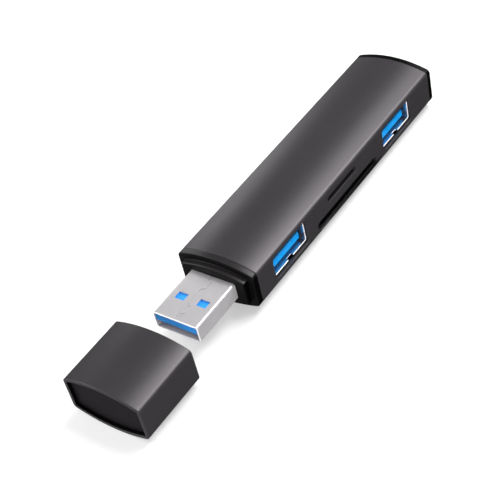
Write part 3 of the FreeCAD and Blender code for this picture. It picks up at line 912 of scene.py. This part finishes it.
@dataclass
class Casing:
    """The metal sleeve with its openings, and the plastic ends pressed into it."""

    section: StickSection = field(default_factory=StickSection)
    length: float = 76.55
    wall: float = 0.85
    press_gap: float = 0.05
    flange: float = 1.55
    spigot: float = 1.5
    spigot_inset: float = 1.7
    collar_wall: float = 0.5
    lip_wall: float = 1.2
    lip_end: float = 5.23
    end_plate: float = 1.3
    skirt: float = 4.0
    board_low: float = -0.77
    board_high: float = -0.07
    rim_round: float = 0.16
    bore_round: float = 0.05
    spigot_round: float = 0.28
    root_round: float = 0.12
    flange_round: float = 0.22
    seat_round: float = 0.1
    lip_round: float = 0.2
    plate_round: float = 0.12
    spigot_face: float = 0.5
    plate_face: float = 0.8
    seat: float = 0.02
    cut_depth: float = 3
    overcut: float = 1
    top_slope: float = 0.7
    milled: Easing = Easing(0.07, 3, 40)
    moulded: Easing = Easing(0.06, 2, 50)
    passage: BarSection = BarSection(12.08, 4.58, 0.64)
    openings: tuple[Opening, ...] = (
        Opening(12.68, 0.27, BarSection(13.6, 6.22, 0.8)),
        Opening(60.37, 0.27, BarSection(13.6, 6.22, 0.8)),
        Opening(36.6, -2.35, BarSection(26.3, 2.24, 0.9)),
        Opening(34.85, 1.745, BarSection(12.2, 1.45, 0.5)),
    )

    def sleeve(self) -> None:
        """The extruded tube, its end edges eased and its openings milled."""
        profile = tube_profile(0, self.length, self.wall, self.rim_round, self.bore_round)
        tube = Piece.swept("sleeve", self.section, profile, closed=True)
        inside = self.section.width / 2 - self.wall - self.cut_depth
        tube.cut(*(opening.tool(inside, self.section.width) for opening in self.openings))
        tube.ease(self.milled).dress(GUNMETAL).set_on(Body.HUB, "body_sleeve")

    def board_tool(self, start: float, end: float) -> Piece:
        """Makes a flat bar that cuts the slot for the board's edge.

        Args:
            start: Where the bar starts along the stick.
            end: Where it ends.

        Returns:
            The cutting bar.
        """
        section = BarSection(self.section.width, self.board_high - self.board_low, corner=0, steps=1)
        lay = AlongStick((self.board_low + self.board_high) / 2)
        return Piece.swept("tool", section, [(start, 0), (end, 0)], lay=lay)

    def on_top(self, _: Vector, normal: Vector) -> bool:
        """Whether a face of the collar looks upward."""
        return normal.z > self.top_slope

    def collar(self) -> None:
        """The flange, the spigot with the plug's passage, and the lips inside the sleeve."""
        press = self.wall + self.press_gap
        front = -self.flange - self.spigot
        corners = [
            (front, self.spigot_inset + self.spigot_face, 0),
            (front, self.spigot_inset, self.spigot_round),
            (-self.flange, self.spigot_inset, self.root_round),
            (-self.flange, 0, self.flange_round),
            (-self.seat, 0, self.seat_round),
            (-self.seat, press, 0),
            (self.lip_end, press, self.lip_round),
            (self.lip_end, press + self.lip_wall, self.lip_round),
            (self.collar_wall, press + self.lip_wall, 0),
        ]
        collar = Piece.swept("collar", self.section, eased(corners))
        passage = Piece.swept("tool", self.passage, [(front - self.overcut, 0), (self.lip_end, 0)])
        collar.cut(passage, self.board_tool(self.collar_wall, self.lip_end + self.overcut))
        # The collar carries painted light on the faces that look up and forward, and its upward faces
        # take the glossier copy.
        collar.ease(self.moulded).dress(PAINTED_LIGHT_BLACK).trim(SHINY_PAINTED_LIGHT_BLACK, self.on_top)
        collar.set_on(Body.HUB, "front_collar")

    def end(self) -> None:
        """The plate over the end of the sleeve and the skirt that holds the board's tail."""
        press = self.wall + self.press_gap
        back = self.length + self.end_plate
        front = self.length - self.skirt
        corners = [
            (back, self.plate_face, 0),
            (back, 0, self.plate_round),
            (self.length + self.seat, 0, self.seat_round),
            (self.length + self.seat, press, 0),
            (front, press, self.lip_round),
            (front, press + self.lip_wall, self.lip_round),
            (self.length, press + self.lip_wall, 0),
        ]
        end = Piece.swept("end_cap", self.section, eased(corners))
        end.cut(self.board_tool(front - self.overcut, self.length))
        end.ease(self.moulded).dress(GLOSS_BLACK).set_on(Body.HUB, "rear_end_cap")

    def build(self) -> None:
        """Makes the three pieces."""
        self.sleeve()
        self.collar()
        self.end()


@dataclass
class PullCap:
    """The cap: a length of the sleeve's extrusion round a plastic pot."""

    section: StickSection = field(default_factory=StickSection)
    front: float = -41.93
    mouth: float = -24.18
    wall: float = 0.85
    press_gap: float = 0.05
    recess: float = 0.8
    setback: float = 0.3
    pot_wall: float = 0.6
    pot_end: float = 1.0
    rim_round: float = 0.16
    bore_round: float = 0.08
    face_round: float = 0.25
    edge_round: float = 0.1
    lip_round: float = 0.15
    floor_round: float = 0.2
    face_width: float = 0.6
    floor_width: float = 0.5
    rim_depth: float = 0.06
    wall_share: float = 0.8
    edges: Easing = Easing(0.03, 1, 60)

    def inside(self, spot: Vector, _: Vector) -> bool:
        """Whether a spot of the tube is on its inner wall."""
        between = self.front + self.rim_depth < spot.y < self.mouth - self.rim_depth
        return between and self.section.holds(spot.x, spot.z, self.wall * self.wall_share)

    def build(self) -> None:
        """Makes the tube and the pot."""
        profile = tube_profile(self.front, self.mouth, self.wall, self.rim_round, self.bore_round)
        tube = Piece.swept("cap_tube", self.section, profile, closed=True)
        # The tube's inner wall takes the painted shade.
        tube.ease(self.edges).dress(GUNMETAL).trim(PAINTED_SHADE_INSIDE, self.inside)
        tube.set_on(Body.CAP, "cap_sleeve")
        press = self.wall + self.press_gap
        low = self.front + self.recess
        high = self.mouth - self.setback
        corners = [
            (low, press + self.face_width, 0),
            (low, press, self.face_round),
            (high, press, self.edge_round),
            (high, press + self.pot_wall, self.lip_round),
            (low + self.pot_end, press + self.pot_wall, self.floor_round),
            (low + self.pot_end, press + self.pot_wall + self.floor_width, 0),
        ]
        pot = Piece.swept("cap_pot", self.section, eased(corners))
        pot.ease(self.edges).dress(SATIN_BLACK).set_on(Body.CAP, "cap_liner")


@dataclass
class Plug:
    """The plug: a folded shell with latch windows and a seam, its moulding and its contacts."""

    section: BarSection = BarSection(12.0, 4.5, 0.6, 8)
    tip: float = -17.25
    back: float = 2.0
    sheet: float = 0.3
    latch: BarSection = BarSection(2.6, 2.05, 0.12, 3)
    latch_spacing: float = 5.9
    latch_from_tip: float = 5.55
    latch_reach: Place = (1.7, 3.0)
    seam_width: float = 0.12
    seam_depth: float = 0.16
    seam_offset: float = -0.25
    seam_shift: float = 1.05
    seam_flank: float = 0.5
    seam_tab: float = 3.1
    seam_starts: Place = (2.0, 10.0)
    mouth_inset: float = 0.1
    mouth_taper: float = 0.25
    mouth_round: float = 0.08
    mouth_depth: float = 0.2
    taper_round: float = 0.2
    edge_round: float = 0.05
    round_steps: int = 3
    overcut: float = 1
    wall_share: float = 0.9
    folded: Easing = Easing(0.03, 2, 40)
    moulded: Easing = Easing(0.05)

    def latch_tools(self) -> list[Piece]:
        """Makes the bars that cut two windows in the top and two in the bottom.

        Returns:
            The cutting bars.
        """
        middle = self.tip + self.latch_from_tip + self.latch.height / 2
        near, far = self.latch_reach
        tools = []
        for side in (-self.latch_spacing / 2, self.latch_spacing / 2):
            lay = FromTop(side, middle)
            for low, high in ((-far, -near), (near, far)):
                tools.append(Piece.swept("tool", self.latch, [(low, 0), (high, 0)], lay=lay))
        return tools

    def seam_tool(self) -> Piece:
        """Makes a thin upright ribbon along the seam on top.

        Returns:
            The cutting ribbon.
        """
        line = [(self.seam_offset, self.tip - self.overcut)]
        for start in self.seam_starts:
            near = self.tip + start
            far = near + self.seam_tab
            shifted = self.seam_offset + self.seam_shift
            line += [(self.seam_offset, near), (shifted, near + self.seam_flank)]
            line += [(shifted, far - self.seam_flank), (self.seam_offset, far)]
        line.append((self.seam_offset, self.back + self.overcut))
        low = self.section.height / 2 - self.seam_depth
        high = self.section.height / 2 + self.overcut
        draft = Draft()
        rings = []
        for index, place in enumerate(line):
            here = Vector(place)
            before = (here - Vector(line[index - 1])).normalized() if index else None
            after = (Vector(line[index + 1]) - here).normalized() if index + 1 < len(line) else before
            before = before or after
            normal = Vector((before.y + after.y, -before.x - after.x)).normalized()
            reach = normal * (self.seam_width / 2 / normal.dot(Vector((before.y, -before.x))))
            left = here - reach
            right = here + reach
            rings.append(draft.ring(((*left, low), (*right, low), (*right, high), (*left, high))))
        draft.skin(rings, closed=False)
        return Piece(draft.mesh("tool"))

    def inside(self, spot: Vector, _: Vector) -> bool:
        """Whether a spot of the shell is on its inner wall."""
        return self.section.holds(spot.x, spot.z, self.sheet * self.wall_share)

    def at_mouth(self, spot: Vector, _: Vector) -> bool:
        """Whether a spot of the shell is on its cut mouth."""
        return spot.y < self.tip + self.mouth_depth

    def shell(self) -> None:
        """The folded shell, its mouth slightly drawn in."""
        corners = [
            (self.tip, self.mouth_inset, self.edge_round),
            (self.tip + self.mouth_taper, 0, self.taper_round),
            (self.back, 0, self.edge_round),
            (self.back, self.sheet, self.edge_round),
            (self.tip, self.sheet, self.mouth_round),
        ]
        profile = eased(corners, closed=True, steps=self.round_steps)
        shell = Piece.swept("plug_sheet", self.section, profile, closed=True)
        shell.cut(self.seam_tool(), *self.latch_tools())
        shell.ease(self.folded).dress(NICKEL)
        # The inner wall takes the painted light, and the faces at the mouth take the painted highlight.
        shell.trim(PAINTED_LIGHT_NICKEL, self.inside).trim(PAINTED_EDGE_HIGHLIGHT, self.at_mouth)
        shell.set_on(Body.HUB, "plug_shell")

    def build(self) -> None:
        """Makes the shell and dresses the moulding and the contacts."""
        self.shell()
        moulding = Piece.of_node("plug_insulator", "plug_moulding")
        moulding.ease(self.moulded).dress(ROYAL_BLUE).set_on(Body.HUB, "plug_insulator")
        for node in ("plug_pads", "plug_springs"):
            dress_node(node, GOLD)


@dataclass
class Port:
    """A port: a folded shell round a tongue with nine contacts."""

    name: str
    mouth: float = 9.65
    mouth_depth: float = 0.15
    folded: Easing = Easing(0.11, 3)
    moulded: Easing = Easing(0.06)

    def at_mouth(self, spot: Vector, _: Vector) -> bool:
        """Whether a spot of the shell is on its cut mouth."""
        return spot.x > self.mouth - self.mouth_depth

    def build(self) -> None:
        """Eases and dresses the port's pieces."""
        shell = Piece.of_node(self.name + "_shell", self.name + "_sheet")
        # The shell's mouth takes the painted highlight.
        shell.ease(self.folded).dress(BRIGHT_NICKEL).trim(PAINTED_EDGE_HIGHLIGHT, self.at_mouth)
        shell.set_on(Body.HUB, self.name + "_shell")
        tongue = Piece.of_node(self.name + "_tongue", self.name + "_moulding")
        tongue.ease(self.moulded).dress(AZURE).set_on(Body.HUB, self.name + "_tongue")
        for part in ("_pads", "_springs"):
            dress_node(self.name + part, GOLD)


@dataclass
class Inside:
    """The board with its parts and the two card sockets."""

    finishes: dict[str, Finish] = field(
        default_factory=lambda: {
            "circuit_board": LAMINATE,
            "hub_chip": RESIN,
            "reader_chip": RESIN,
            "crystal": CAN,
            "regulator": RESIN,
            "capacitors": CERAMIC,
            "resistors": RESIN,
            "large_card_socket_base": SOCKET_BLACK,
            # The socket covers take the painted shade.
            "large_card_socket_cover": PAINTED_SHADE_STEEL,
            "large_card_socket_contacts": GOLD,
            "small_card_socket_base": SOCKET_BLACK,
            "small_card_socket_cover": PAINTED_SHADE_STEEL,
            "small_card_socket_contacts": GOLD,
        }
    )

    def build(self) -> None:
        """Dresses each CAD node."""
        for node, finish in self.finishes.items():
            dress_node(node, finish)


@dataclass(frozen=True)
class Softbox:
    """A flat rectangular light."""

    name: str
    spot: Spot
    aim: Spot
    size: Place
    radiance: float
    throw: Throw = Throw.FULL

    def hang(self) -> None:
        """Puts the light into the scene, aimed and at its strength."""
        data = bpy.data.lights.new(self.name, "AREA")
        data.shape = "RECTANGLE"
        data.size, data.size_y = self.size[0] * MM, self.size[1] * MM
        data.energy = self.radiance * math.pi * data.size * data.size_y
        light = bpy.data.objects.new(self.name, data)
        light.location = Vector(self.spot) * MM
        light.rotation_euler = (Vector(self.aim) - Vector(self.spot)).to_track_quat("-Z", "Y").to_euler()
        light.visible_diffuse = self.throw is not Throw.SHEEN
        light.visible_glossy = self.throw is not Throw.SOFT
        bpy.context.scene.collection.objects.link(light)


@dataclass
class Studio:
    """The pale floor, the lights and the camera."""

    sky: float = 0.29
    dusk: float = 0.03
    dusk_way: Spot = (0.0, -1.0, 1.0)
    dusk_span: Place = (-1.0, -0.35)
    floor_size: float = 6000
    floor_drop: float = 0.02
    floor_colour: Colour = (0.6, 0.6, 0.6)
    floor_roughness: float = 0.9
    glow: float = 0.4
    far_glow: float = 1.1
    glow_reach: Place = (0.25, 0.8)
    aim: Spot = (1.2178, -8.7385, 6.1392)
    distance: float = 278.068
    azimuth: float = 44.1288
    elevation: float = 41.7091
    roll: float = -14.5894
    lens: float = 89.231
    sensor: float = 36
    nearest: float = 0.01
    lights: tuple[Softbox, ...] = (
        Softbox("overhead_front", (131, 225, 500), (131, 225, 0), (336, 250), 10.4),
        Softbox("overhead_rear", (92, 515, 500), (92, 515, 0), (414, 330), 4.7),
        Softbox("corner_strip", (205, 490, 495), (205, 490, 0), (190, 200), 8.3, Throw.SHEEN),
        Softbox("right_wing", (572, 400, 500), (572, 400, 0), (546, 560), 7.5, Throw.SHEEN),
        Softbox("left_back", (-1181, 827, 413), (0, 0, 6), (240, 750), 3.2),
        Softbox("left_front", (-675, -270, 530), (0, 0, 6), (500, 500), 6.0),
        Softbox("side_fill", (640, -300, 110), (0, 0, 6), (600, 200), 10.0, Throw.SOFT),
        Softbox("front_fill", (-100, -700, 110), (0, 0, 6), (600, 200), 11.5, Throw.SOFT),
    )

    def floor(self) -> None:
        """A plain pale ground under the object."""
        mesh = bpy.data.meshes.new("floor")
        half = self.floor_size / 2 * MM
        corners = [(-half, -half, 0), (half, -half, 0), (half, half, 0), (-half, half, 0)]
        mesh.from_pydata(corners, [], [(0, 1, 2, 3)])
        ground = bpy.data.objects.new("floor", mesh)
        ground.location.z = cad_box[0].z - self.floor_drop * MM
        ground.visible_glossy = False
        bpy.context.scene.collection.objects.link(ground)
        recipe = Recipe("floor")
        recipe.coat(
            Base_Color=(*self.floor_colour, 1.0),
            Roughness=self.floor_roughness,
            Specular_IOR_Level=0.0,
            Emission_Color=WHITE,
            Emission_Strength=recipe.span(recipe.away(), self.glow, self.far_glow, *self.glow_reach),
        )
        mesh.materials.append(recipe.material)

    def camera(self) -> None:
        """The camera at the picture's angle."""
        turn, rise, tip = (math.radians(a) for a in (self.azimuth, self.elevation, self.roll))
        flat = math.cos(rise)
        back = Vector((math.sin(turn) * flat, -math.cos(turn) * flat, math.sin(rise)))
        level = Vector((math.cos(turn), math.sin(turn), 0))
        right = Matrix.Rotation(tip, 3, back) @ level
        up = back.cross(right)
        data = bpy.data.cameras.new("camera")
        data.lens = self.lens
        data.sensor_width = self.sensor
        data.clip_start = self.nearest
        eye = bpy.data.objects.new("camera", data)
        turned = Matrix((right, up, back)).transposed().to_4x4()
        eye.matrix_world = Matrix.Translation((Vector(self.aim) + back * self.distance) * MM) @ turned
        bpy.context.scene.collection.objects.link(eye)
        bpy.context.scene.camera = eye

    def world(self) -> None:
        """An even grey surround that darkens low behind the object."""
        world = bpy.data.worlds.new("surround")
        world.use_nodes = True
        tree = world.node_tree
        level = tree.nodes.new("ShaderNodeVectorMath")
        level.operation = "DOT_PRODUCT"
        level.inputs[1].default_value = self.dusk_way
        tree.links.new(tree.nodes.new("ShaderNodeTexCoord").outputs["Generated"], level.inputs[0])
        fade = tree.nodes.new("ShaderNodeMapRange")
        start, end = self.dusk_span
        inputs = {"From Min": start, "From Max": end, "To Min": self.dusk, "To Max": self.sky}
        for socket, value in inputs.items():
            fade.inputs[socket].default_value = value
        tree.links.new(level.outputs["Value"], fade.inputs["Value"])
        tree.nodes["Background"].inputs["Color"].default_value = WHITE
        tree.links.new(fade.outputs["Result"], tree.nodes["Background"].inputs["Strength"])
        bpy.context.scene.world = world
        bpy.context.scene.view_settings.view_transform = "Standard"

    def build(self) -> None:
        """Sets up the whole studio."""
        self.floor()
        self.world()
        for light in self.lights:
            light.hang()
        self.camera()
        log.info("studio: %d lights", len(self.lights))


def main() -> None:
    """Builds the object's sub-assemblies and the studio in order."""
    logging.basicConfig(level=logging.INFO, format="%(name)s %(message)s")
    Casing().build()
    PullCap().build()
    Plug().build()
    for name in ("front_port", "rear_port"):
        Port(name).build()
    Inside().build()
    Studio().build()


if __name__ == "__main__":
    main()
